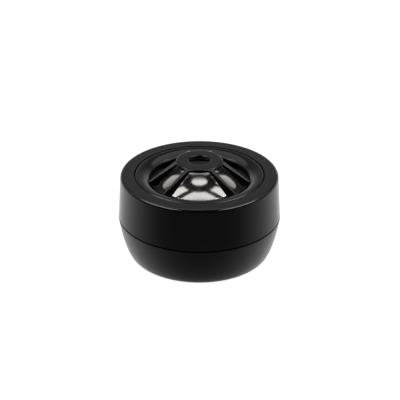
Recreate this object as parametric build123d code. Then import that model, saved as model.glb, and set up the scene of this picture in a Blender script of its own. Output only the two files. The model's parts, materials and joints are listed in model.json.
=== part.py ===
"""Car tweeter pod: a surface-mount cup, a twist-lock head and a swivelling dome capsule.

Millimetres, +Z up. The origin is the centre of the flat underside that meets the dashboard.
"""
import math
import os

from build123d import *

os.makedirs("parts", exist_ok=True)

# Pod outline
BASE_RADIUS = 27.0          # widest point, at the parting line
BASE_HEIGHT = 13.8
FOOT_RADIUS = 22.16         # flat underside
HEAD_RADIUS = 26.95         # upper housing at the parting line
RIM_RADIUS = 26.25          # upper housing at its top
RIM_HEIGHT = 28.7
RIM_FILLET = 0.9
SEAM_GAP = 0.3
SEAM_CHAMFER = 0.05

# Swivelling capsule: a ball band that tilts inside the rim
PIVOT_HEIGHT = 23.1
CAPSULE_RADIUS = 21.35      # lip of the faceplate at rim height
SWIVEL_GAP = 0.28           # all round, between ball band and rim
BALL_RADIUS = math.hypot(CAPSULE_RADIUS, RIM_HEIGHT - PIVOT_HEIGHT)
LIP_ROUND = 0.55
PIN_RADIUS = 1.1
PIN_CLEARANCE = 0.05

# Faceplate cage
WINDOW_RADIUS = 16.8
WINDOW_HEIGHT = 27.3
HUB_RADIUS = 7.75
HUB_HOLE_RADIUS = 3.5
HUB_TOP = 33.85
HUB_THICKNESS = 1.15
RIB_CREST_DROP = 0.3        # below the hub's top, at the root
RIB_ROOT_WIDTH = 2.3
RIB_TIP_WIDTH = 0.6
RIB_FOOT_SHARE = 0.7        # of the rib's length, where its underside reaches the foot
RIB_FOOT_GAP = 0.35         # above the surround's flange
RIB_SPANS = [(30.0, 44.5), (81.0, 81.0)]    # root and tip azimuth from the front, mirrored

# Diaphragm and voice coil
COIL_RADIUS = 12.55
DOME_RISE = 3.7
DOME_BASE = 25.0
DOME_THICKNESS = 0.25
DOME_APEX = DOME_BASE + DOME_RISE
DOME_SPHERE = (COIL_RADIUS ** 2 + DOME_RISE ** 2) / (2 * DOME_RISE)
DOME_CENTRE = DOME_APEX - DOME_SPHERE
FORMER_WALL = 0.2
FORMER_BOTTOM = 20.4
WINDING_RADIUS = 12.95
WINDING_BOTTOM = 20.7
WINDING_TOP = 23.9

# Surround
SURROUND_INNER = COIL_RADIUS + 0.1
ROLL_OUTER = 15.5
ROLL_DEPTH = 0.6            # the roll hangs below its flange
SURROUND_OUTER = 18.2
SURROUND_SEAT = 25.0
SURROUND_THICKNESS = 0.3

# Motor
YOKE_RADIUS = 15.6
YOKE_BORE = 13.4
YOKE_BOTTOM = 17.4
YOKE_TOP = 23.4
YOKE_FLOOR = 1.5
PLATE_RADIUS = 12.05
PLATE_THICKNESS = 2.0
MAGNET_RADIUS = 11.4
PAD_RADIUS = 10.5
PAD_THICKNESS = 1.2

# Capsule frame
FRAME_JOIN = 25.4           # faceplate meets frame here
FRAME_WALL = 1.12
FRAME_FLANGE = 1.4
FRAME_FLOOR = 1.2
FRAME_OPENING = 16.2
SCREW_CIRCLE = 19.45
SCREW_RADIUS = 0.8
SCREW_HEAD_RADIUS = 1.3
SCREW_COUNT = 3
PIN_INNER_END = 19.6
PIN_OUTER_END = 24.1

# Swivel ring and its retainer
SWIVEL_INNER = 22.75
SWIVEL_OUTER = 24.3
SWIVEL_BOTTOM = 20.6
SWIVEL_TOP = 24.7
SHELF_HEIGHT = 25.0
HEAD_BORE = 24.6
RETAINER_INNER = 22.9
RETAINER_BOTTOM = 19.1
RETAINER_TOP = 20.4

# Twist lock between base and head
LOCK_BORE = 25.2
LOCK_BORE_TOP = 18.6
COLLAR_OUTER = 23.7
COLLAR_INNER = 22.3
COLLAR_TOP = 17.6
COLLAR_BOTTOM = 11.6
LUG_ANGLE = 26.0
LUG_COUNT = 3
LUG_GAP = 0.3
HEAD_LUG_INNER = 23.95
HEAD_LUG_TOP = 15.9
STOP_ANGLE = 3.0
STOP_GAP_ANGLE = 0.6

# Base floor and its fixings
FLOOR = 2.4
BASE_BORE = 24.8
FLOOR_RADIUS = 19.4
MOUNT_CIRCLE_RADIUS = 14.0
MOUNT_HOLE_RADIUS = 1.7
MOUNT_HEAD_RADIUS = 3.2
MOUNT_COUNT = 3
PAD_RING_INNER = 16.6
PAD_RING_OUTER = 20.4
PAD_RING_THICKNESS = 0.8
CABLE_HOLE_RADIUS = 3.5
GROMMET_BORE = 2.0
GROMMET_FLANGE = 4.6
GROMMET_FLANGE_THICKNESS = 0.9
GROMMET_BOTTOM = 0.3

# Terminals and series capacitor under the motor
BOARD_LENGTH = 37.6
BOARD_WIDTH = 9.0
BOARD_THICKNESS = 1.2
BOARD_BOTTOM = YOKE_BOTTOM - BOARD_THICKNESS
TAB_OFFSET = 9.2
TAB_THICKNESS = 0.6
TAB_LENGTH = 6.4
TAB_POSITIVE_WIDTH = 4.8
TAB_NEGATIVE_WIDTH = 2.8
CAPACITOR_RADIUS = 2.4
CAPACITOR_LENGTH = 10.4
CAPACITOR_DROP = 3.0        # axis below the board
CAPACITOR_LEAD_RADIUS = 0.3
CAPACITOR_LEAD_REACH = 6.6
TINSEL_RADIUS = 0.2
TINSEL_REACH = 17.3
TINSEL_START = 24.05


def turned(outline):
    """Solid of revolution about Z from a closed outline of (radius, height)."""
    return revolve(Plane.XZ * make_face(outline), axis=Axis.Z)


def turned_polygon(*points):
    """Solid of revolution about Z from corner points of (radius, height)."""
    return turned(Polyline(*points, close=True).edges())


def tube(inner, outer, bottom, top):
    """Plain ring between two radii and two heights."""
    section = Circle(outer) - Circle(inner) if inner else Circle(outer)
    return Pos(0, 0, bottom) * extrude(section, top - bottom)


def sector(inner, outer, bottom, top, start, angle):
    """Part of a plain ring, from a start azimuth through an angle."""
    middle = Pos((inner + outer) / 2, (bottom + top) / 2)
    section = Plane.XZ * middle * Rectangle(outer - inner, top - bottom)
    return Rot(0, 0, start) * revolve(section, axis=Axis.Z, revolution_arc=angle)


def polar(radius, azimuth):
    """Plan position at an azimuth counted from the front (-Y) towards +X."""
    angle = math.radians(azimuth)
    return Vector(radius * math.sin(angle), -radius * math.cos(angle))


def ball_radius_at(height, radius=BALL_RADIUS):
    """Plan radius of the ball band at a height."""
    return math.sqrt(radius ** 2 - (height - PIVOT_HEIGHT) ** 2)


def ball_arc(bottom, top, radius=BALL_RADIUS):
    """Outline arc of the ball band, from bottom to top."""
    middle = (bottom + top) / 2
    points = [(ball_radius_at(z, radius), z) for z in (bottom, middle, top)]
    return ThreePointArc(*points)


def cup_side(height):
    """Outer radius of the base cup at a height: a rounded bottom that steepens to the seam."""
    depth = (BASE_HEIGHT - 0.15 - height) / (BASE_HEIGHT - 0.15)
    return FOOT_RADIUS + (BASE_RADIUS - FOOT_RADIUS) * (1 - depth ** 1.09) ** 0.54


def repeated(part, count):
    """Copies of a part, evenly spaced about Z."""
    return [Rot(0, 0, index * 360 / count) * part for index in range(count)]


def save(name, shape):
    """Write one node."""
    solids = shape.solids()
    body = solids[0] if len(solids) == 1 else Compound(children=list(solids))
    export_step(body, f"parts/{name}.step")


# ---------------------------------------------------------------- base

def base_cup():
    side_heights = (0, 0.4, 1.4, 3.2, 5.8, 9.2, BASE_HEIGHT - 0.6)
    side = Spline(*[(cup_side(height), height) for height in side_heights])
    inside = Spline(
        (FLOOR_RADIUS, FLOOR),
        (23.3, 6.8),
        (BASE_BORE, COLLAR_BOTTOM),
        tangents=[(1, 0.12), (0.1, 1)],
    )
    outline = [
        Line((0, 0), (FOOT_RADIUS, 0)),
        side,
        Line(side @ 1, (BASE_RADIUS, BASE_HEIGHT - SEAM_CHAMFER)),
        Line((BASE_RADIUS, BASE_HEIGHT - SEAM_CHAMFER), (BASE_RADIUS - SEAM_CHAMFER, BASE_HEIGHT)),
        Line((BASE_RADIUS - SEAM_CHAMFER, BASE_HEIGHT), (COLLAR_OUTER, BASE_HEIGHT)),
        Line((COLLAR_OUTER, BASE_HEIGHT), (COLLAR_OUTER, COLLAR_TOP)),
        Line((COLLAR_OUTER, COLLAR_TOP), (COLLAR_INNER, COLLAR_TOP)),
        Line((COLLAR_INNER, COLLAR_TOP), (COLLAR_INNER, COLLAR_BOTTOM + 1)),
        Line((COLLAR_INNER, COLLAR_BOTTOM + 1), inside @ 1),
        inside,
        Line((FLOOR_RADIUS, FLOOR), (0, FLOOR)),
        Line((0, FLOOR), (0, 0)),
    ]
    cup = turned(outline)
    cup -= tube(0, CABLE_HOLE_RADIUS, 0, FLOOR)
    cup -= tube(PAD_RING_INNER, PAD_RING_OUTER, 0, PAD_RING_THICKNESS)
    sink_depth = MOUNT_HEAD_RADIUS - MOUNT_HOLE_RADIUS
    hole = Pos(MOUNT_CIRCLE_RADIUS, 0, FLOOR / 2) * Cylinder(MOUNT_HOLE_RADIUS, FLOOR)
    sink = Pos(MOUNT_CIRCLE_RADIUS, 0, FLOOR - sink_depth / 2) * Cone(
        MOUNT_HOLE_RADIUS, MOUNT_HEAD_RADIUS, sink_depth
    )
    for cutter in repeated(Rot(0, 0, 90) * (hole + sink), MOUNT_COUNT):
        cup -= cutter
    lug_bottom = HEAD_LUG_TOP + LUG_GAP
    lug_outer = LOCK_BORE - LUG_GAP
    lug = sector(COLLAR_OUTER - 0.4, lug_outer, lug_bottom, COLLAR_TOP, -LUG_ANGLE / 2, LUG_ANGLE)
    stop_start = -LUG_ANGLE / 2 - STOP_GAP_ANGLE - STOP_ANGLE
    stop = sector(COLLAR_OUTER - 0.4, lug_outer, BASE_HEIGHT - 0.4, COLLAR_TOP, stop_start, STOP_ANGLE)
    for catch in repeated(lug + stop, LUG_COUNT):
        cup += catch
    return cup


def cable_grommet():
    flange_top = FLOOR + GROMMET_FLANGE_THICKNESS
    return turned_polygon(
        (GROMMET_BORE, GROMMET_BOTTOM),
        (CABLE_HOLE_RADIUS, GROMMET_BOTTOM),
        (CABLE_HOLE_RADIUS, FLOOR),
        (GROMMET_FLANGE, FLOOR),
        (GROMMET_FLANGE, flange_top - 0.3),
        (GROMMET_FLANGE - 0.3, flange_top),
        (GROMMET_BORE, flange_top),
    )


def adhesive_pad():
    return tube(PAD_RING_INNER, PAD_RING_OUTER, 0, PAD_RING_THICKNESS)


def seam_seal():
    return tube(LOCK_BORE + 0.1, LOCK_BORE + 0.9, BASE_HEIGHT, BASE_HEIGHT + SEAM_GAP - 0.07)


# ---------------------------------------------------------------- head

def upper_housing():
    bottom = BASE_HEIGHT + SEAM_GAP
    fillet_start = RIM_HEIGHT - RIM_FILLET
    diagonal = RIM_FILLET * math.sin(math.radians(45))
    fillet_middle = (RIM_RADIUS - RIM_FILLET + diagonal, fillet_start + diagonal)
    socket = ball_arc(SHELF_HEIGHT, RIM_HEIGHT, BALL_RADIUS + SWIVEL_GAP)
    outline = [
        Line((LOCK_BORE, bottom), (HEAD_RADIUS - SEAM_CHAMFER, bottom)),
        Line((HEAD_RADIUS - SEAM_CHAMFER, bottom), (HEAD_RADIUS, bottom + SEAM_CHAMFER)),
        Line((HEAD_RADIUS, bottom + SEAM_CHAMFER), (RIM_RADIUS, fillet_start)),
        ThreePointArc((RIM_RADIUS, fillet_start), fillet_middle, (RIM_RADIUS - RIM_FILLET, RIM_HEIGHT)),
        Line((RIM_RADIUS - RIM_FILLET, RIM_HEIGHT), socket @ 1),
        socket,
        Line(socket @ 0, (HEAD_BORE, SHELF_HEIGHT)),
        Line((HEAD_BORE, SHELF_HEIGHT), (HEAD_BORE, LOCK_BORE_TOP)),
        Line((HEAD_BORE, LOCK_BORE_TOP), (LOCK_BORE, LOCK_BORE_TOP)),
        Line((LOCK_BORE, LOCK_BORE_TOP), (LOCK_BORE, bottom)),
    ]
    housing = turned(outline)
    lug = sector(HEAD_LUG_INNER, LOCK_BORE + 0.4, bottom, HEAD_LUG_TOP, -LUG_ANGLE / 2, LUG_ANGLE)
    for catch in repeated(lug, LUG_COUNT):
        housing += catch
    return housing


def friction_washer():
    return tube(RETAINER_INNER, SWIVEL_OUTER - 0.2, SWIVEL_TOP + 0.05, SHELF_HEIGHT)


def retainer_ring():
    return tube(RETAINER_INNER, HEAD_BORE, RETAINER_BOTTOM, RETAINER_TOP)


# ---------------------------------------------------------------- swivel ring

def swivel_ring():
    ring = tube(SWIVEL_INNER, SWIVEL_OUTER, SWIVEL_BOTTOM, SWIVEL_TOP)
    hole_radius = PIN_RADIUS + PIN_CLEARANCE
    hole = Pos(0, 0, PIVOT_HEIGHT) * Rot(90, 0, 0) * Cylinder(hole_radius, 3 * SWIVEL_OUTER)
    return ring - hole


# ---------------------------------------------------------------- capsule

def rib(root_azimuth, tip_azimuth):
    """Tapered bar from the hub down to the window's edge, deepest at its foot."""
    root = polar(HUB_RADIUS, root_azimuth)
    tip = polar(WINDOW_RADIUS, tip_azimuth)
    run = tip - root
    length = run.length
    inward = 1.6
    outward = 0.8
    crest = HUB_TOP - RIB_CREST_DROP
    crest_end = crest - (crest - WINDOW_HEIGHT) * (length + outward) / length
    hub_bottom = HUB_TOP - HUB_THICKNESS
    foot_height = SURROUND_SEAT + SURROUND_THICKNESS + RIB_FOOT_GAP
    corners = [
        (-inward, crest),
        (0, crest),
        (length + outward, crest_end),
        (length + outward, foot_height),
        (RIB_FOOT_SHARE * length, foot_height),
        (0, hub_bottom),
        (-inward, hub_bottom),
    ]
    side = make_face(Polyline(*corners, close=True).edges())
    blade = extrude(Plane.XZ * side, amount=RIB_ROOT_WIDTH, both=True)
    half_root = RIB_ROOT_WIDTH / 2
    half_tip = RIB_TIP_WIDTH / 2
    plan = make_face(
        Polyline(
            (-inward, -half_root),
            (length + outward, -half_tip),
            (length + outward, half_tip),
            (-inward, half_root),
            close=True,
        ).edges()
    )
    taper = extrude(plan, amount=HUB_TOP)
    heading = math.degrees(math.atan2(run.Y, run.X))
    return Pos(root.X, root.Y, 0) * Rot(0, 0, heading) * (blade & taper)


def faceplate():
    lip_centre = CAPSULE_RADIUS - LIP_ROUND
    diagonal = LIP_ROUND * math.sin(math.radians(45))
    lip_low = RIM_HEIGHT - LIP_ROUND
    side = ball_arc(FRAME_JOIN, lip_low)
    lip = ThreePointArc(
        side @ 1,
        (lip_centre + diagonal, lip_low + diagonal),
        (lip_centre - 0.1, RIM_HEIGHT),
    )
    dish = Spline(lip @ 1, (WINDOW_RADIUS, WINDOW_HEIGHT), tangents=[(-1, -0.03), (-1, -0.95)])
    under = SURROUND_SEAT + SURROUND_THICKNESS
    outline = [
        side,
        lip,
        dish,
        Line(dish @ 1, (WINDOW_RADIUS, under)),
        Line((WINDOW_RADIUS, under), (SURROUND_OUTER + 0.2, under)),
        Line((SURROUND_OUTER + 0.2, under), (SURROUND_OUTER + 0.2, FRAME_JOIN)),
        Line((SURROUND_OUTER + 0.2, FRAME_JOIN), side @ 0),
    ]
    plate = turned(outline)
    hub_bottom = HUB_TOP - HUB_THICKNESS
    plate += turned_polygon(
        (HUB_HOLE_RADIUS, hub_bottom),
        (HUB_RADIUS, hub_bottom),
        (HUB_RADIUS, HUB_TOP - 0.4),
        (HUB_RADIUS - 0.12, HUB_TOP - 0.12),
        (HUB_RADIUS - 0.4, HUB_TOP),
        (HUB_HOLE_RADIUS + 0.35, HUB_TOP),
        (HUB_HOLE_RADIUS, HUB_TOP - 0.35),
    )
    for root_azimuth, tip_azimuth in RIB_SPANS:
        front_right = rib(root_azimuth, tip_azimuth)
        plate += front_right
        plate += mirror(front_right, about=Plane.YZ)
        if root_azimuth < 45:
            plate += mirror(front_right, about=Plane.XZ)
            plate += mirror(mirror(front_right, about=Plane.XZ), about=Plane.YZ)
    for thread in screw_positions(FRAME_JOIN, FRAME_JOIN + 2.2, SCREW_RADIUS):
        plate -= thread
    return plate


def screw_positions(bottom, top, radius):
    """One upright cylinder at each frame screw."""
    middle = (bottom + top) / 2
    shank = Pos(0, SCREW_CIRCLE, middle) * Cylinder(radius, top - bottom)
    return repeated(Rot(0, 0, 45) * shank, SCREW_COUNT)


def pivot_cylinders(radius, inner_end, outer_end):
    """Cylinders on the tilt axis, one at the front and one at the back."""
    middle = (inner_end + outer_end) / 2
    stub = Pos(0, middle, PIVOT_HEIGHT) * Rot(90, 0, 0) * Cylinder(radius, outer_end - inner_end)
    return repeated(stub, 2)


def capsule_frame():
    side = ball_arc(YOKE_BOTTOM, FRAME_JOIN)
    flange_bottom = FRAME_JOIN - FRAME_FLANGE + 0.4
    wall_top = (ball_radius_at(flange_bottom) - FRAME_WALL, flange_bottom)
    floor_top = YOKE_BOTTOM + FRAME_FLOOR
    outline = [
        side,
        Line(side @ 1, (SURROUND_OUTER + 0.2, FRAME_JOIN)),
        Line((SURROUND_OUTER + 0.2, FRAME_JOIN), (SURROUND_OUTER + 0.2, SURROUND_SEAT)),
        Line((SURROUND_OUTER + 0.2, SURROUND_SEAT), (FRAME_OPENING, SURROUND_SEAT)),
        Line((FRAME_OPENING, SURROUND_SEAT), (FRAME_OPENING, flange_bottom)),
        Line((FRAME_OPENING, flange_bottom), wall_top),
        Line(wall_top, (ball_radius_at(floor_top) - FRAME_WALL, floor_top)),
        Line((ball_radius_at(floor_top) - FRAME_WALL, floor_top), (YOKE_RADIUS, floor_top)),
        Line((YOKE_RADIUS, floor_top), (YOKE_RADIUS, YOKE_BOTTOM)),
        Line((YOKE_RADIUS, YOKE_BOTTOM), side @ 0),
    ]
    frame = turned(outline)
    for boss in pivot_cylinders(PIN_RADIUS + 0.8, PIN_INNER_END, ball_radius_at(PIVOT_HEIGHT) - 0.4):
        frame += boss
    for socket in pivot_cylinders(PIN_RADIUS, PIN_INNER_END, PIN_OUTER_END):
        frame -= socket
    for hole in screw_positions(flange_bottom, FRAME_JOIN, SCREW_RADIUS):
        frame -= hole
    lead_hole = Cylinder(2 * TINSEL_RADIUS, 2 * FRAME_FLOOR)
    for side_sign in (-1, 1):
        frame -= Pos(side_sign * TINSEL_REACH, 0, YOKE_BOTTOM) * lead_hole
    return frame


def pivot_pins():
    return Compound(children=pivot_cylinders(PIN_RADIUS, PIN_INNER_END, PIN_OUTER_END))


def frame_screws():
    head_top = FRAME_JOIN - FRAME_FLANGE + 0.4
    shanks = screw_positions(head_top, FRAME_JOIN + 2.0, SCREW_RADIUS)
    heads = screw_positions(head_top - 1.0, head_top, SCREW_HEAD_RADIUS)
    recesses = screw_positions(head_top - 1.0, head_top - 0.5, 0.5)
    return Compound(children=[
        shank + head - recess for shank, head, recess in zip(shanks, heads, recesses)
    ])


def surround():
    seat = SURROUND_SEAT
    top = SURROUND_SEAT + SURROUND_THICKNESS
    middle = (SURROUND_INNER + ROLL_OUTER) / 2
    outline = [
        ThreePointArc((SURROUND_INNER, top), (middle, top - ROLL_DEPTH), (ROLL_OUTER, top)),
        Line((ROLL_OUTER, top), (SURROUND_OUTER, top)),
        Line((SURROUND_OUTER, top), (SURROUND_OUTER, seat)),
        Line((SURROUND_OUTER, seat), (ROLL_OUTER, seat)),
        ThreePointArc((ROLL_OUTER, seat), (middle, seat - ROLL_DEPTH), (SURROUND_INNER, seat)),
        Line((SURROUND_INNER, seat), (SURROUND_INNER, top)),
    ]
    return turned(outline)


def pot_yoke():
    return turned_polygon(
        (0, YOKE_BOTTOM),
        (YOKE_RADIUS, YOKE_BOTTOM),
        (YOKE_RADIUS, YOKE_TOP),
        (YOKE_BORE, YOKE_TOP),
        (YOKE_BORE, YOKE_BOTTOM + YOKE_FLOOR),
        (0, YOKE_BOTTOM + YOKE_FLOOR),
    )


def magnet():
    return tube(0, MAGNET_RADIUS, YOKE_BOTTOM + YOKE_FLOOR, YOKE_TOP - PLATE_THICKNESS)


def pole_plate():
    return tube(0, PLATE_RADIUS, YOKE_TOP - PLATE_THICKNESS, YOKE_TOP)


def damping_pad():
    return tube(0, PAD_RADIUS, YOKE_TOP, YOKE_TOP + PAD_THICKNESS)


def terminal_board():
    board = Pos(0, 0, BOARD_BOTTOM + BOARD_THICKNESS / 2) * Box(BOARD_LENGTH, BOARD_WIDTH, BOARD_THICKNESS)
    middle = BOARD_BOTTOM + BOARD_THICKNESS / 2
    for side_sign in (-1, 1):
        board -= Pos(side_sign * TINSEL_REACH, 0, middle) * Cylinder(TINSEL_RADIUS, 2 * BOARD_THICKNESS)
        lead_hole = Cylinder(CAPACITOR_LEAD_RADIUS, 2 * BOARD_THICKNESS)
        board -= Pos(side_sign * CAPACITOR_LEAD_REACH, 0, middle) * lead_hole
    return board


def terminal_tab(width, side_sign):
    """Push-on blade: a foot riveted under the board and a blade that points down."""
    foot_depth = 4.0
    foot = Pos(side_sign * (TAB_OFFSET + foot_depth / 2), 0, BOARD_BOTTOM - TAB_THICKNESS / 2) * Box(
        foot_depth, width, TAB_THICKNESS
    )
    blade = Pos(side_sign * (TAB_OFFSET + TAB_THICKNESS / 2), 0, BOARD_BOTTOM - TAB_LENGTH / 2) * Box(
        TAB_THICKNESS, width, TAB_LENGTH
    )
    eye = Pos(side_sign * TAB_OFFSET, 0, BOARD_BOTTOM - TAB_LENGTH + 2) * Rot(0, 90, 0) * Cylinder(
        0.6, 4 * TAB_THICKNESS
    )
    return foot + blade - eye


def capacitor():
    axis_height = BOARD_BOTTOM - CAPACITOR_DROP
    can = Pos(0, 0, axis_height) * Rot(0, 90, 0) * Cylinder(CAPACITOR_RADIUS, CAPACITOR_LENGTH)
    return fillet(can.edges().filter_by(GeomType.CIRCLE), 0.4)


def capacitor_leads():
    axis_height = BOARD_BOTTOM - CAPACITOR_DROP
    leads = []
    for side_sign in (-1, 1):
        route = FilletPolyline(
            (side_sign * CAPACITOR_LENGTH / 2, 0, axis_height),
            (side_sign * CAPACITOR_LEAD_REACH, 0, axis_height),
            (side_sign * CAPACITOR_LEAD_REACH, 0, BOARD_BOTTOM + BOARD_THICKNESS),
            radius=0.7,
        )
        section = Plane(origin=route @ 0, z_dir=route % 0) * Circle(CAPACITOR_LEAD_RADIUS)
        leads.append(sweep(section, path=route))
    return Compound(children=leads)


def tinsel_leads():
    leads = []
    for side_sign in (-1, 1):
        route = FilletPolyline(
            (side_sign * (WINDING_RADIUS + 0.3), 0, TINSEL_START),
            (side_sign * TINSEL_REACH, 0, TINSEL_START - 0.3),
            (side_sign * TINSEL_REACH, 0, BOARD_BOTTOM),
            radius=1.5,
        )
        section = Plane(origin=route @ 0, z_dir=route % 0) * Circle(TINSEL_RADIUS)
        leads.append(sweep(section, path=route))
    return Compound(children=leads)


# ---------------------------------------------------------------- diaphragm

def dome():
    inner_sphere = DOME_SPHERE - DOME_THICKNESS
    inner_rim = math.sqrt(inner_sphere ** 2 - (DOME_BASE - DOME_CENTRE) ** 2)

    def skin(radius, rim):
        middle = rim / 2
        return [(middle, DOME_CENTRE + math.sqrt(radius ** 2 - middle ** 2)), (0, DOME_CENTRE + radius)]

    outline = [
        ThreePointArc((COIL_RADIUS, DOME_BASE), *skin(DOME_SPHERE, COIL_RADIUS)),
        Line((0, DOME_CENTRE + DOME_SPHERE), (0, DOME_CENTRE + inner_sphere)),
        ThreePointArc((inner_rim, DOME_BASE), *skin(inner_sphere, inner_rim)),
        Line((inner_rim, DOME_BASE), (COIL_RADIUS, DOME_BASE)),
    ]
    return turned(outline)


def voice_coil_former():
    return tube(COIL_RADIUS - FORMER_WALL, COIL_RADIUS, FORMER_BOTTOM, DOME_BASE)


def voice_coil_winding():
    return tube(COIL_RADIUS, WINDING_RADIUS, WINDING_BOTTOM, WINDING_TOP)


NODES = {
    "base_cup": base_cup(),
    "cable_grommet": cable_grommet(),
    "adhesive_pad": adhesive_pad(),
    "seam_seal": seam_seal(),
    "upper_housing": upper_housing(),
    "friction_washer": friction_washer(),
    "retainer_ring": retainer_ring(),
    "swivel_ring": swivel_ring(),
    "faceplate": faceplate(),
    "capsule_frame": capsule_frame(),
    "pivot_pins": pivot_pins(),
    "frame_screws": frame_screws(),
    "surround": surround(),
    "pot_yoke": pot_yoke(),
    "magnet": magnet(),
    "pole_plate": pole_plate(),
    "damping_pad": damping_pad(),
    "terminal_board": terminal_board(),
    "terminal_positive": terminal_tab(TAB_POSITIVE_WIDTH, 1),
    "terminal_negative": terminal_tab(TAB_NEGATIVE_WIDTH, -1),
    "capacitor": capacitor(),
    "capacitor_leads": capacitor_leads(),
    "tinsel_leads": tinsel_leads(),
    "dome": dome(),
    "voice_coil_former": voice_coil_former(),
    "voice_coil_winding": voice_coil_winding(),
}

for node_name, node_shape in NODES.items():
    save(node_name, node_shape)
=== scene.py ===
import json
import math

import bmesh
import bpy
from mathutils import Matrix, Vector


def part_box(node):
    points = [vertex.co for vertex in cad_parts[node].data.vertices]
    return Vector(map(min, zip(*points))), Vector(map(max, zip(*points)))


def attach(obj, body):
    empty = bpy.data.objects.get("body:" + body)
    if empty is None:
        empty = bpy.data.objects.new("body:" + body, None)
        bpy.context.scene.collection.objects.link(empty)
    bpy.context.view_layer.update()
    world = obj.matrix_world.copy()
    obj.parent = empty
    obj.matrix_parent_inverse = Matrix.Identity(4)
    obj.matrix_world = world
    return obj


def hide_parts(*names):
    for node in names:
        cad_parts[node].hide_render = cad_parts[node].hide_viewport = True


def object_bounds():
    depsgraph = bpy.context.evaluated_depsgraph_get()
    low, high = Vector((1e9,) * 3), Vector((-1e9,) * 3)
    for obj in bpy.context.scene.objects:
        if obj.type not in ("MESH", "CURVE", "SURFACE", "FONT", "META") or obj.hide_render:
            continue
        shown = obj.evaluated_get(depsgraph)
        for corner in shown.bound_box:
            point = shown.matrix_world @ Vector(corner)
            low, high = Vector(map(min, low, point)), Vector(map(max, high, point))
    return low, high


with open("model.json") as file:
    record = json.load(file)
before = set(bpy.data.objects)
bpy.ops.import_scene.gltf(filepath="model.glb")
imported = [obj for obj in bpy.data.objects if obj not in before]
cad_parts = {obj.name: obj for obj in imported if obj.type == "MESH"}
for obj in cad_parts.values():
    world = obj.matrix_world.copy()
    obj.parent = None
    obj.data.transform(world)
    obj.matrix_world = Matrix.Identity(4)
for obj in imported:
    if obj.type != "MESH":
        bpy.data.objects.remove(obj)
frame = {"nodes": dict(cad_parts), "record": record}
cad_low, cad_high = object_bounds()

MM = 0.001
TAU = 2 * math.pi
QUARTER_TURN = math.pi / 2

# ------------------------------------------------------------------ places, from the frame

housing_low, housing_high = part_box("upper_housing")
plate_low, plate_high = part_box("faceplate")
dome_low, dome_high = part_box("dome")
_, surround_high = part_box("surround")
pin_low, pin_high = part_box("pivot_pins")

SEAM_TOP = housing_low.z
DULL_START = SEAM_TOP - 0.5 * MM
DULL_END = SEAM_TOP - 0.34 * MM
RIM_HEIGHT = housing_high.z
PIVOT_HEIGHT = (pin_low.z + pin_high.z) / 2
COIL_RADIUS = dome_high.x
DOME_RISE = dome_high.z - dome_low.z
DOME_SPHERE = (COIL_RADIUS ** 2 + DOME_RISE ** 2) / (2 * DOME_RISE)
DOME_CENTRE = dome_high.z - DOME_SPHERE

# Faceplate sizes, as in the CAD design
CAPSULE_RADIUS = 21.35 * MM
LIP_ROUND = 0.55 * MM
WINDOW_RADIUS = 16.8 * MM
WINDOW_HEIGHT = 27.3 * MM
WINDOW_ROUND = 0.12 * MM
PLATE_JOIN = plate_low.z
SURROUND_SLACK = 0.2 * MM
BALL_RADIUS = math.hypot(CAPSULE_RADIUS, RIM_HEIGHT - PIVOT_HEIGHT)

HUB_TOP = plate_high.z
HUB_BOTTOM = HUB_TOP - 1.15 * MM
HUB_RADIUS = 7.75 * MM
HUB_HOLE_RADIUS = 3.5 * MM

# Ribs, a little higher and slimmer than in CAD, because their crests are rounded here
RIB_SPANS = [(30.0, 44.5), (81.0, 81.0)]  # root and tip, in degrees from the front
RIB_CREST = HUB_TOP - 0.12 * MM
RIB_CREST_ROUND = 0.3 * MM
RIB_ROOT_WIDTH = 2.2 * MM
RIB_TIP_WIDTH = 0.6 * MM
RIB_LEAST_DEPTH = 0.3 * MM
RIB_FOOT = surround_high.z + 0.35 * MM
RIB_FOOT_SHARE = 0.7  # of the rib's length, where its underside reaches the foot
RIB_IN_HUB = 0.5 * MM
RIB_IN_DISH = 0.7 * MM


# ------------------------------------------------------------------ mesh helpers

FILLET_LIMIT = 0.48  # of a side's length, so that two fillets never meet
SAME_PLACE = 1e-7


def shade(mesh, smooth=True):
    for polygon in mesh.polygons:
        polygon.use_smooth = smooth


def new_object(name, bm, smooth=True):
    """A mesh object from a bmesh."""
    bmesh.ops.recalc_face_normals(bm, faces=bm.faces)
    mesh = bpy.data.meshes.new(name)
    bm.to_mesh(mesh)
    bm.free()
    shade(mesh, smooth)
    made = bpy.data.objects.new(name, mesh)
    bpy.context.scene.collection.objects.link(made)
    return made


def arc(centre, radius, first, last, steps):
    """Points of an arc from one angle to another, ends included."""
    points = []
    for step in range(steps + 1):
        angle = first + (last - first) * step / steps
        points.append(Vector(centre) + Vector((math.cos(angle), math.sin(angle))) * radius)
    return points


def cubic(start, end, start_slope, end_slope, steps):
    """Points of a Hermite curve between two (radius, height) points, ends included."""
    points = []
    for step in range(steps + 1):
        t = step / steps
        a = 2 * t ** 3 - 3 * t ** 2 + 1
        b = t ** 3 - 2 * t ** 2 + t
        c = -2 * t ** 3 + 3 * t ** 2
        d = t ** 3 - t ** 2
        points.append(Vector([
            a * start[k] + b * start_slope[k] + c * end[k] + d * end_slope[k] for k in (0, 1)
        ]))
    return points


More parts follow.
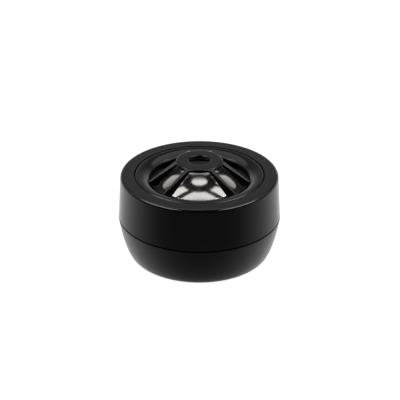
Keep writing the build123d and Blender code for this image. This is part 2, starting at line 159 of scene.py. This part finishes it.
def rounded(corners, steps=6):
    """Closed outline with each corner (radius, height, fillet) rounded off by an arc."""
    points = []
    for index, (x, z, fillet) in enumerate(corners):
        here = Vector((x, z))
        before = Vector(corners[index - 1][:2]) - here
        after = Vector(corners[(index + 1) % len(corners)][:2]) - here
        half = before.angle(after) / 2
        reach = min(fillet / math.tan(half), FILLET_LIMIT * before.length, FILLET_LIMIT * after.length)
        start = here + before.normalized() * reach
        end = here + after.normalized() * reach
        middle = (before.normalized() + after.normalized()).normalized()
        centre = here + middle * (reach / math.cos(half))
        turn = 1 if (start - centre).cross(end - centre) > 0 else -1
        for step in range(steps + 1):
            angle = turn * (math.pi - 2 * half) * step / steps
            points.append(centre + Matrix.Rotation(angle, 2) @ (start - centre))
    return points


def bridge(bm, ring, following):
    """A band of faces between two closed rings of equally many points."""
    for index in range(len(ring)):
        other = (index + 1) % len(ring)
        bm.faces.new((ring[index], following[index], following[other], ring[other]))


def lathe_into(bm, outline, segments):
    """Adds the closed outline of (radius, height) turned about Z."""
    rings = []
    for step in range(segments):
        angle = TAU * step / segments
        rings.append([
            bm.verts.new((point[0] * math.cos(angle), point[0] * math.sin(angle), point[1]))
            for point in outline
        ])
    for step in range(segments):
        bridge(bm, rings[step], rings[(step + 1) % segments])


def lathe(name, outline, segments):
    """A turned object; points of the outline that lie on the axis are merged."""
    bm = bmesh.new()
    lathe_into(bm, outline, segments)
    bmesh.ops.remove_doubles(bm, verts=bm.verts, dist=SAME_PLACE)
    bmesh.ops.dissolve_degenerate(bm, dist=SAME_PLACE, edges=bm.edges)
    return new_object(name, bm)


def fuse(thing, voxel, smoothing):
    """Joins overlapping solids into one skin and softens where they meet."""
    remesh = thing.modifiers.new("fuse", "REMESH")
    remesh.mode = "VOXEL"
    remesh.voxel_size = voxel
    soften = thing.modifiers.new("soften", "SMOOTH")
    soften.factor = 0.5
    soften.iterations = smoothing
    graph = bpy.context.evaluated_depsgraph_get()
    mesh = bpy.data.meshes.new_from_object(thing.evaluated_get(graph))
    thing.modifiers.clear()
    thing.data = mesh
    shade(mesh)


# ------------------------------------------------------------------ material helpers

def new_material(name):
    """A material, its nodes, its links and its main shader."""
    material = bpy.data.materials.new(name)
    material.use_nodes = True
    nodes = material.node_tree.nodes
    return material, nodes, material.node_tree.links, nodes["Principled BSDF"]


def value_noise(nodes, links, scale, detail, roughness=0.55, stretch=(1, 1, 1)):
    """Noise in the object's own coordinates."""
    where = nodes.new("ShaderNodeTexCoord")
    spread = nodes.new("ShaderNodeMapping")
    spread.inputs["Scale"].default_value = stretch
    noise = nodes.new("ShaderNodeTexNoise")
    noise.inputs["Scale"].default_value = scale
    noise.inputs["Detail"].default_value = detail
    noise.inputs["Roughness"].default_value = roughness
    links.new(where.outputs["Object"], spread.inputs["Vector"])
    links.new(spread.outputs["Vector"], noise.inputs["Vector"])
    return noise.outputs["Fac"]


def ramp_between(nodes, links, source, low, high, start=0.35, end=0.65, curve="LINEAR"):
    """Goes from low to high while the source goes from start to end."""
    spread = nodes.new("ShaderNodeMapRange")
    spread.interpolation_type = curve
    spread.inputs["From Min"].default_value = start
    spread.inputs["From Max"].default_value = end
    spread.inputs["To Min"].default_value = low
    spread.inputs["To Max"].default_value = high
    links.new(source, spread.inputs["Value"])
    return spread.outputs["Result"]


def combined(nodes, links, operation, first, second):
    """One value worked out from two."""
    maths = nodes.new("ShaderNodeMath")
    maths.operation = operation
    links.new(first, maths.inputs[0])
    links.new(second, maths.inputs[1])
    return maths.outputs["Value"]


def scaled(colour, factor, lift=0.0):
    """A colour made darker or lighter, with full opacity."""
    return (*[min(1.0, channel * factor + lift) for channel in colour], 1)


def mottled(nodes, links, factor, colour, darkest, lightest):
    """The colour, varied between two multiples of itself."""
    tone = nodes.new("ShaderNodeMix")
    tone.data_type = "RGBA"
    tone.inputs["A"].default_value = scaled(colour, darkest)
    tone.inputs["B"].default_value = scaled(colour, lightest)
    links.new(factor, tone.inputs["Factor"])
    return tone.outputs["Result"]


def rubbed_edges(nodes, links, finish, colour, strength):
    """The finish, lighter along outward edges, where it gets rubbed."""
    shape = nodes.new("ShaderNodeNewGeometry")
    rub = ramp_between(nodes, links, shape.outputs["Pointiness"], 0.0, strength, 0.52, 0.62)
    worn = nodes.new("ShaderNodeMix")
    worn.data_type = "RGBA"
    worn.inputs["B"].default_value = scaled(colour, 4, 0.02)
    links.new(rub, worn.inputs["Factor"])
    links.new(finish, worn.inputs["A"])
    return worn.outputs["Result"]


def raise_surface(nodes, links, shader, source, height):
    """Bumps the surface up by as much as a height where the source is high."""
    bump = nodes.new("ShaderNodeBump")
    bump.inputs["Strength"].default_value = 1.0
    bump.inputs["Distance"].default_value = height
    links.new(source, bump.inputs["Height"])
    links.new(bump.outputs["Normal"], shader.inputs["Normal"])


# ------------------------------------------------------------------ materials

def moulded_plastic(name, colour, roughness, grain=2600, grain_height=0.012 * MM, edge=0.0):
    """Moulded plastic: fine spark grain, uneven sheen and, if asked for, rubbed edges."""
    material, nodes, links, shader = new_material(name)
    cloud = value_noise(nodes, links, scale=90, detail=4)
    finish = mottled(nodes, links, cloud, colour, 0.82, 1.2)
    if edge:
        finish = rubbed_edges(nodes, links, finish, colour, edge)
    links.new(finish, shader.inputs["Base Color"])
    smears = value_noise(nodes, links, scale=240, detail=3)
    gloss = ramp_between(nodes, links, smears, roughness * 0.88, roughness * 1.12)
    links.new(gloss, shader.inputs["Roughness"])
    speckle = value_noise(nodes, links, scale=grain, detail=3, roughness=0.7)
    raise_surface(nodes, links, shader, speckle, grain_height)
    return material


def dull_lip(material, start, end):
    """Takes the shine off a moulding above a height, where its lip sits in the parting line."""
    nodes, links = material.node_tree.nodes, material.node_tree.links
    where = nodes.new("ShaderNodeTexCoord")
    split = nodes.new("ShaderNodeSeparateXYZ")
    links.new(where.outputs["Object"], split.inputs["Vector"])
    fade = ramp_between(nodes, links, split.outputs["Z"], 0.5, 0.0, start, end)
    links.new(fade, nodes["Principled BSDF"].inputs["Specular IOR Level"])


def metal(name, colour, roughness, stretch=(1, 1, 1)):
    """Bare or plated metal with fine marks and a slightly uneven finish."""
    material, nodes, links, shader = new_material(name)
    shader.inputs["Metallic"].default_value = 1.0
    cloud = value_noise(nodes, links, scale=160, detail=4)
    links.new(mottled(nodes, links, cloud, colour, 0.93, 1.05), shader.inputs["Base Color"])
    gloss = ramp_between(nodes, links, cloud, roughness * 0.85, roughness * 1.2)
    links.new(gloss, shader.inputs["Roughness"])
    marks = value_noise(nodes, links, scale=1400, detail=4, roughness=0.5, stretch=stretch)
    raise_surface(nodes, links, shader, marks, 0.002 * MM)
    return material


def woven(name, colour, threads, sheen):
    """Cloth or felt: crossed thread waves with a little fuzz."""
    material, nodes, links, shader = new_material(name)
    shader.inputs["Roughness"].default_value = 0.8
    shader.inputs["Sheen Weight"].default_value = sheen
    where = nodes.new("ShaderNodeTexCoord")
    waves = []
    for direction in ("X", "Y"):
        wave = nodes.new("ShaderNodeTexWave")
        wave.bands_direction = direction
        wave.inputs["Scale"].default_value = threads
        wave.inputs["Distortion"].default_value = 0.4
        links.new(where.outputs["Object"], wave.inputs["Vector"])
        waves.append(wave.outputs["Fac"])
    crossed = combined(nodes, links, "MAXIMUM", *waves)
    links.new(mottled(nodes, links, crossed, colour, 0.6, 1.3), shader.inputs["Base Color"])
    raise_surface(nodes, links, shader, crossed, 0.03 * MM)
    return material


BLACK = (0.0014, 0.0014, 0.0015)
MATERIALS = {
    "base_plastic": moulded_plastic("base_plastic", BLACK, 0.26, grain_height=0.005 * MM, edge=0.25),
    "housing_plastic": moulded_plastic("housing_plastic", BLACK, 0.17, grain_height=0.004 * MM, edge=0.25),
    "cage_plastic": moulded_plastic("cage_plastic", BLACK, 0.17, grain_height=0.004 * MM, edge=0.2),
    "inner_plastic": moulded_plastic("inner_plastic", (0.012, 0.012, 0.012), 0.5),
    "rubber": moulded_plastic("rubber", (0.008, 0.008, 0.008), 0.75, grain=900),
    "foam": moulded_plastic("foam", (0.015, 0.015, 0.015), 0.95, grain=1300, grain_height=0.15 * MM),
    "felt": woven("felt", (0.03, 0.03, 0.03), threads=1500, sheen=0.4),
    "surround_cloth": woven("surround_cloth", (0.0012, 0.0012, 0.0012), threads=1900, sheen=0.0),
    "steel": metal("steel", (0.5, 0.5, 0.51), 0.3, stretch=(1, 1, 12)),
    "screw_steel": metal("screw_steel", (0.35, 0.35, 0.36), 0.35),
    "magnet_nickel": metal("magnet_nickel", (0.66, 0.63, 0.58), 0.14),
    "board": moulded_plastic("board", (0.24, 0.11, 0.045), 0.55, grain=1200),
    "tab_brass": metal("tab_brass", (0.72, 0.69, 0.6), 0.28),
    "capacitor_film": moulded_plastic("capacitor_film", (0.42, 0.26, 0.03), 0.25),
    "tinned_wire": metal("tinned_wire", (0.7, 0.7, 0.69), 0.25),
    "copper": metal("copper", (0.72, 0.3, 0.13), 0.3, stretch=(1, 1, 30)),
    "dome_metal": metal("dome_metal", (0.83, 0.79, 0.755), 0.18),
    "former_foil": metal("former_foil", (0.7, 0.7, 0.7), 0.3),
}
dull_lip(MATERIALS["base_plastic"], DULL_START, DULL_END)


# ------------------------------------------------------------------ dressing

def paint(thing, slot_name):
    thing.data.materials.clear()
    thing.data.materials.append(MATERIALS[slot_name])


def paint_cad_nodes():
    """Gives every CAD node its own material, smooth but for its sharp creases."""
    slot_of = {row["node"]: row["material_slot"] for row in frame["record"]["subparts"]}
    for node_name, node in frame["nodes"].items():
        paint(node, slot_of[node_name])
        shade(node.data)
        node.data.set_sharp_from_angle(angle=math.radians(32))


def add_piece(thing, body, slot_name, stands_for):
    """Dresses a visual piece, fixes it to its body and lets it stand for a CAD node."""
    paint(thing, slot_name)
    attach(thing, body)
    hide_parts(stands_for)


# ------------------------------------------------------------------ capsule faceplate

def ball_radius_at(height):
    return math.sqrt(BALL_RADIUS ** 2 - (height - PIVOT_HEIGHT) ** 2)


def faceplate_dish():
    """The ring of the faceplate: ball band, rounded lip, hollow dish and window wall."""
    lip_low = RIM_HEIGHT - LIP_ROUND
    lip_centre = CAPSULE_RADIUS - LIP_ROUND
    outline = []
    band_steps = 8
    for step in range(band_steps + 1):
        height = PLATE_JOIN + (lip_low - PLATE_JOIN) * step / band_steps
        outline.append(Vector((ball_radius_at(height), height)))
    outline += arc((lip_centre, lip_low), LIP_ROUND, 0, QUARTER_TURN, steps=8)[1:]
    run = lip_centre - WINDOW_RADIUS
    dish_start = (lip_centre, RIM_HEIGHT)
    dish_end = (WINDOW_RADIUS + WINDOW_ROUND, WINDOW_HEIGHT)
    outline += cubic(dish_start, dish_end, (-run, -0.03 * run), (-run, -0.95 * run), 20)[1:]
    under = surround_high.z
    step_radius = surround_high.x + SURROUND_SLACK
    outline += [
        Vector((WINDOW_RADIUS + WINDOW_ROUND / 4, WINDOW_HEIGHT - WINDOW_ROUND / 3)),
        Vector((WINDOW_RADIUS, WINDOW_HEIGHT - WINDOW_ROUND)),
        Vector((WINDOW_RADIUS, under)),
        Vector((step_radius, under)),
        Vector((step_radius, PLATE_JOIN)),
    ]
    return lathe("faceplate_dish", outline, 256)


def polar(radius, azimuth):
    """A place in plan, its azimuth in degrees from the front."""
    angle = math.radians(azimuth)
    return Vector((radius * math.sin(angle), -radius * math.cos(angle)))


def rib_section(half, top, bottom):
    """A rib's section of (across, height), with both crest corners rounded."""
    crest = min(RIB_CREST_ROUND, half * 0.8)
    steps = 6
    return [
        Vector((-half, bottom)),
        Vector((half, bottom)),
        *arc((half - crest, top - crest), crest, 0, QUARTER_TURN, steps),
        *arc((crest - half, top - crest), crest, QUARTER_TURN, 2 * QUARTER_TURN, steps),
    ]


def rib_into(bm, root_azimuth, tip_azimuth, flip_x, flip_y):
    """Adds one cage rib: a tapered blade that runs a little into the hub and the dish."""
    root = polar(HUB_RADIUS, root_azimuth)
    run = polar(WINDOW_RADIUS, tip_azimuth) - root
    length = run.length
    along_axis = run / length
    across_axis = Vector((-along_axis.y, along_axis.x))
    slope = (RIB_CREST - WINDOW_HEIGHT) / length
    stations = 30
    rings = []
    for station in range(stations + 1):
        share = station / stations
        along = (RIB_IN_HUB + length + RIB_IN_DISH) * share - RIB_IN_HUB
        half = 0.5 * (RIB_ROOT_WIDTH + (RIB_TIP_WIDTH - RIB_ROOT_WIDTH) * share)
        top = min(RIB_CREST, RIB_CREST - slope * along)
        descent = min(1.0, max(0.0, along) / (RIB_FOOT_SHARE * length))
        underside = HUB_BOTTOM + (RIB_FOOT - HUB_BOTTOM) * descent
        bottom = min(underside, top - RIB_LEAST_DEPTH)
        ring = []
        for across, height in rib_section(half, top, bottom):
            place = root + along_axis * along + across_axis * across
            ring.append(bm.verts.new((place.x * flip_x, place.y * flip_y, height)))
        rings.append(ring)
    for ring, following in zip(rings, rings[1:]):
        bridge(bm, ring, following)
    bm.faces.new(rings[0])
    bm.faces.new(rings[-1])


def faceplate_cage():
    """Hub and ribs, moulded in one piece: four slanted ribs and one out to each side."""
    bm = bmesh.new()
    hub = rounded([
        (HUB_HOLE_RADIUS, HUB_BOTTOM, 0.15 * MM),
        (HUB_RADIUS, HUB_BOTTOM, 0.15 * MM),
        (HUB_RADIUS, HUB_TOP, 0.45 * MM),
        (HUB_HOLE_RADIUS, HUB_TOP, 0.35 * MM),
    ])
    lathe_into(bm, hub, 160)
    for root_azimuth, tip_azimuth in RIB_SPANS:
        also_behind = root_azimuth < 45
        for flip_x in (1, -1):
            for flip_y in ((1, -1) if also_behind else (1,)):
                rib_into(bm, root_azimuth, tip_azimuth, flip_x, flip_y)
    cage = new_object("faceplate_cage", bm)
    fuse(cage, voxel=0.13 * MM, smoothing=5)
    return cage


# ------------------------------------------------------------------ dome

def cap_side(sphere, edge, steps):
    """Points of a spherical cap's side, from its top out to its edge."""
    points = []
    for step in range(steps + 1):
        radius = edge * step / steps
        points.append(Vector((radius, DOME_CENTRE + math.sqrt(sphere ** 2 - radius ** 2))))
    return points


def dome_skin():
    """The dome: a thin spherical cap, hollow underneath."""
    outside = cap_side(DOME_SPHERE, COIL_RADIUS, 48)
    inside = cap_side(DOME_SPHERE - 0.25 * MM, COIL_RADIUS - 0.3 * MM, 12)
    return lathe("dome_skin", outside + inside[::-1], 192)


# ------------------------------------------------------------------ camera

CAMERA_DISTANCE = 0.6
CAMERA_ELEVATION = 27.2
CAMERA_LENS = 161.8
AIM = Vector((0.0002, 0.0, 0.01901))


def place_camera():
    camera_data = bpy.data.cameras.new("camera")
    camera_data.lens = CAMERA_LENS
    camera_data.clip_start = 0.01
    camera_data.clip_end = 20
    camera = bpy.data.objects.new("camera", camera_data)
    bpy.context.scene.collection.objects.link(camera)
    elevation = math.radians(CAMERA_ELEVATION)
    back = Vector((0, -math.cos(elevation), math.sin(elevation)))
    camera.location = AIM + back * CAMERA_DISTANCE
    camera.rotation_mode = "QUATERNION"
    camera.rotation_quaternion = (-back).to_track_quat("-Z", "Y")
    bpy.context.scene.camera = camera


# ------------------------------------------------------------------ studio

FLOOR_HALF = 1.5
FLOOR_GAP = 0.05 * MM
LIGHTS_AIM = Vector((0, 0, 0.03))


def studio_floor():
    """A pale flat floor just under the pod."""
    bm = bmesh.new()
    corners = []
    for x, y in ((-1, -1), (1, -1), (1, 1), (-1, 1)):
        corners.append(bm.verts.new((x * FLOOR_HALF, y * FLOOR_HALF, cad_low.z - FLOOR_GAP)))
    bm.faces.new(corners)
    floor = new_object("studio_floor", bm, smooth=False)
    material, _, _, shader = new_material("studio_white")
    shader.inputs["Base Color"].default_value = (0.2, 0.2, 0.2, 1)
    shader.inputs["Roughness"].default_value = 0.9
    shader.inputs["Specular IOR Level"].default_value = 0.0
    shader.inputs["Emission Color"].default_value = (1, 1, 1, 1)
    shader.inputs["Emission Strength"].default_value = 0.93
    floor.data.materials.append(material)
    floor.visible_glossy = False
    floor.visible_diffuse = False


def softbox(name, place, size, power):
    """A rectangular light aimed at the pod."""
    light_data = bpy.data.lights.new(name, "AREA")
    light_data.shape = "RECTANGLE"
    light_data.size, light_data.size_y = size
    light_data.energy = power
    light = bpy.data.objects.new(name, light_data)
    bpy.context.scene.collection.objects.link(light)
    light.location = place
    light.rotation_mode = "QUATERNION"
    light.rotation_quaternion = (LIGHTS_AIM - Vector(place)).to_track_quat("-Z", "Y")


def studio_world():
    """Surroundings: pale behind the pod, dark overhead and in front, a dim table below."""
    world = bpy.data.worlds.new("studio")
    bpy.context.scene.world = world
    world.use_nodes = True
    nodes, links = world.node_tree.nodes, world.node_tree.links
    where = nodes.new("ShaderNodeTexCoord")
    split = nodes.new("ShaderNodeSeparateXYZ")
    links.new(where.outputs["Generated"], split.inputs["Vector"])
    depth, height = split.outputs["Y"], split.outputs["Z"]
    behind = ramp_between(
        nodes, links, depth, low=0.01, high=0.85, start=-0.75, end=0.85, curve="SMOOTHSTEP",
    )
    horizon = ramp_between(
        nodes, links, height, low=1.0, high=0.08, start=-0.1, end=0.7, curve="SMOOTHSTEP",
    )
    table = ramp_between(nodes, links, height, low=0.12, high=0.0, start=-0.4, end=-0.2)
    wall = combined(nodes, links, "MULTIPLY", behind, horizon)
    total = combined(nodes, links, "ADD", wall, table)
    links.new(total, nodes["Background"].inputs["Strength"])
    nodes["Background"].inputs["Color"].default_value = (1, 1, 1, 1)


# ------------------------------------------------------------------ everything together

paint_cad_nodes()
add_piece(faceplate_dish(), "capsule", "cage_plastic", "faceplate")
add_piece(faceplate_cage(), "capsule", "cage_plastic", "faceplate")
add_piece(dome_skin(), "diaphragm", "dome_metal", "dome")

place_camera()
studio_floor()
studio_world()
softbox("back_top", (0, 0.27, 0.68), size=(1.3, 0.62), power=2.1)
softbox("side_left", (-0.5, -0.2, 0.58), size=(0.7, 0.22), power=3.4)
softbox("side_right", (0.5, -0.2, 0.58), size=(0.7, 0.22), power=3.4)
bpy.context.scene.view_settings.view_transform = "Standard"
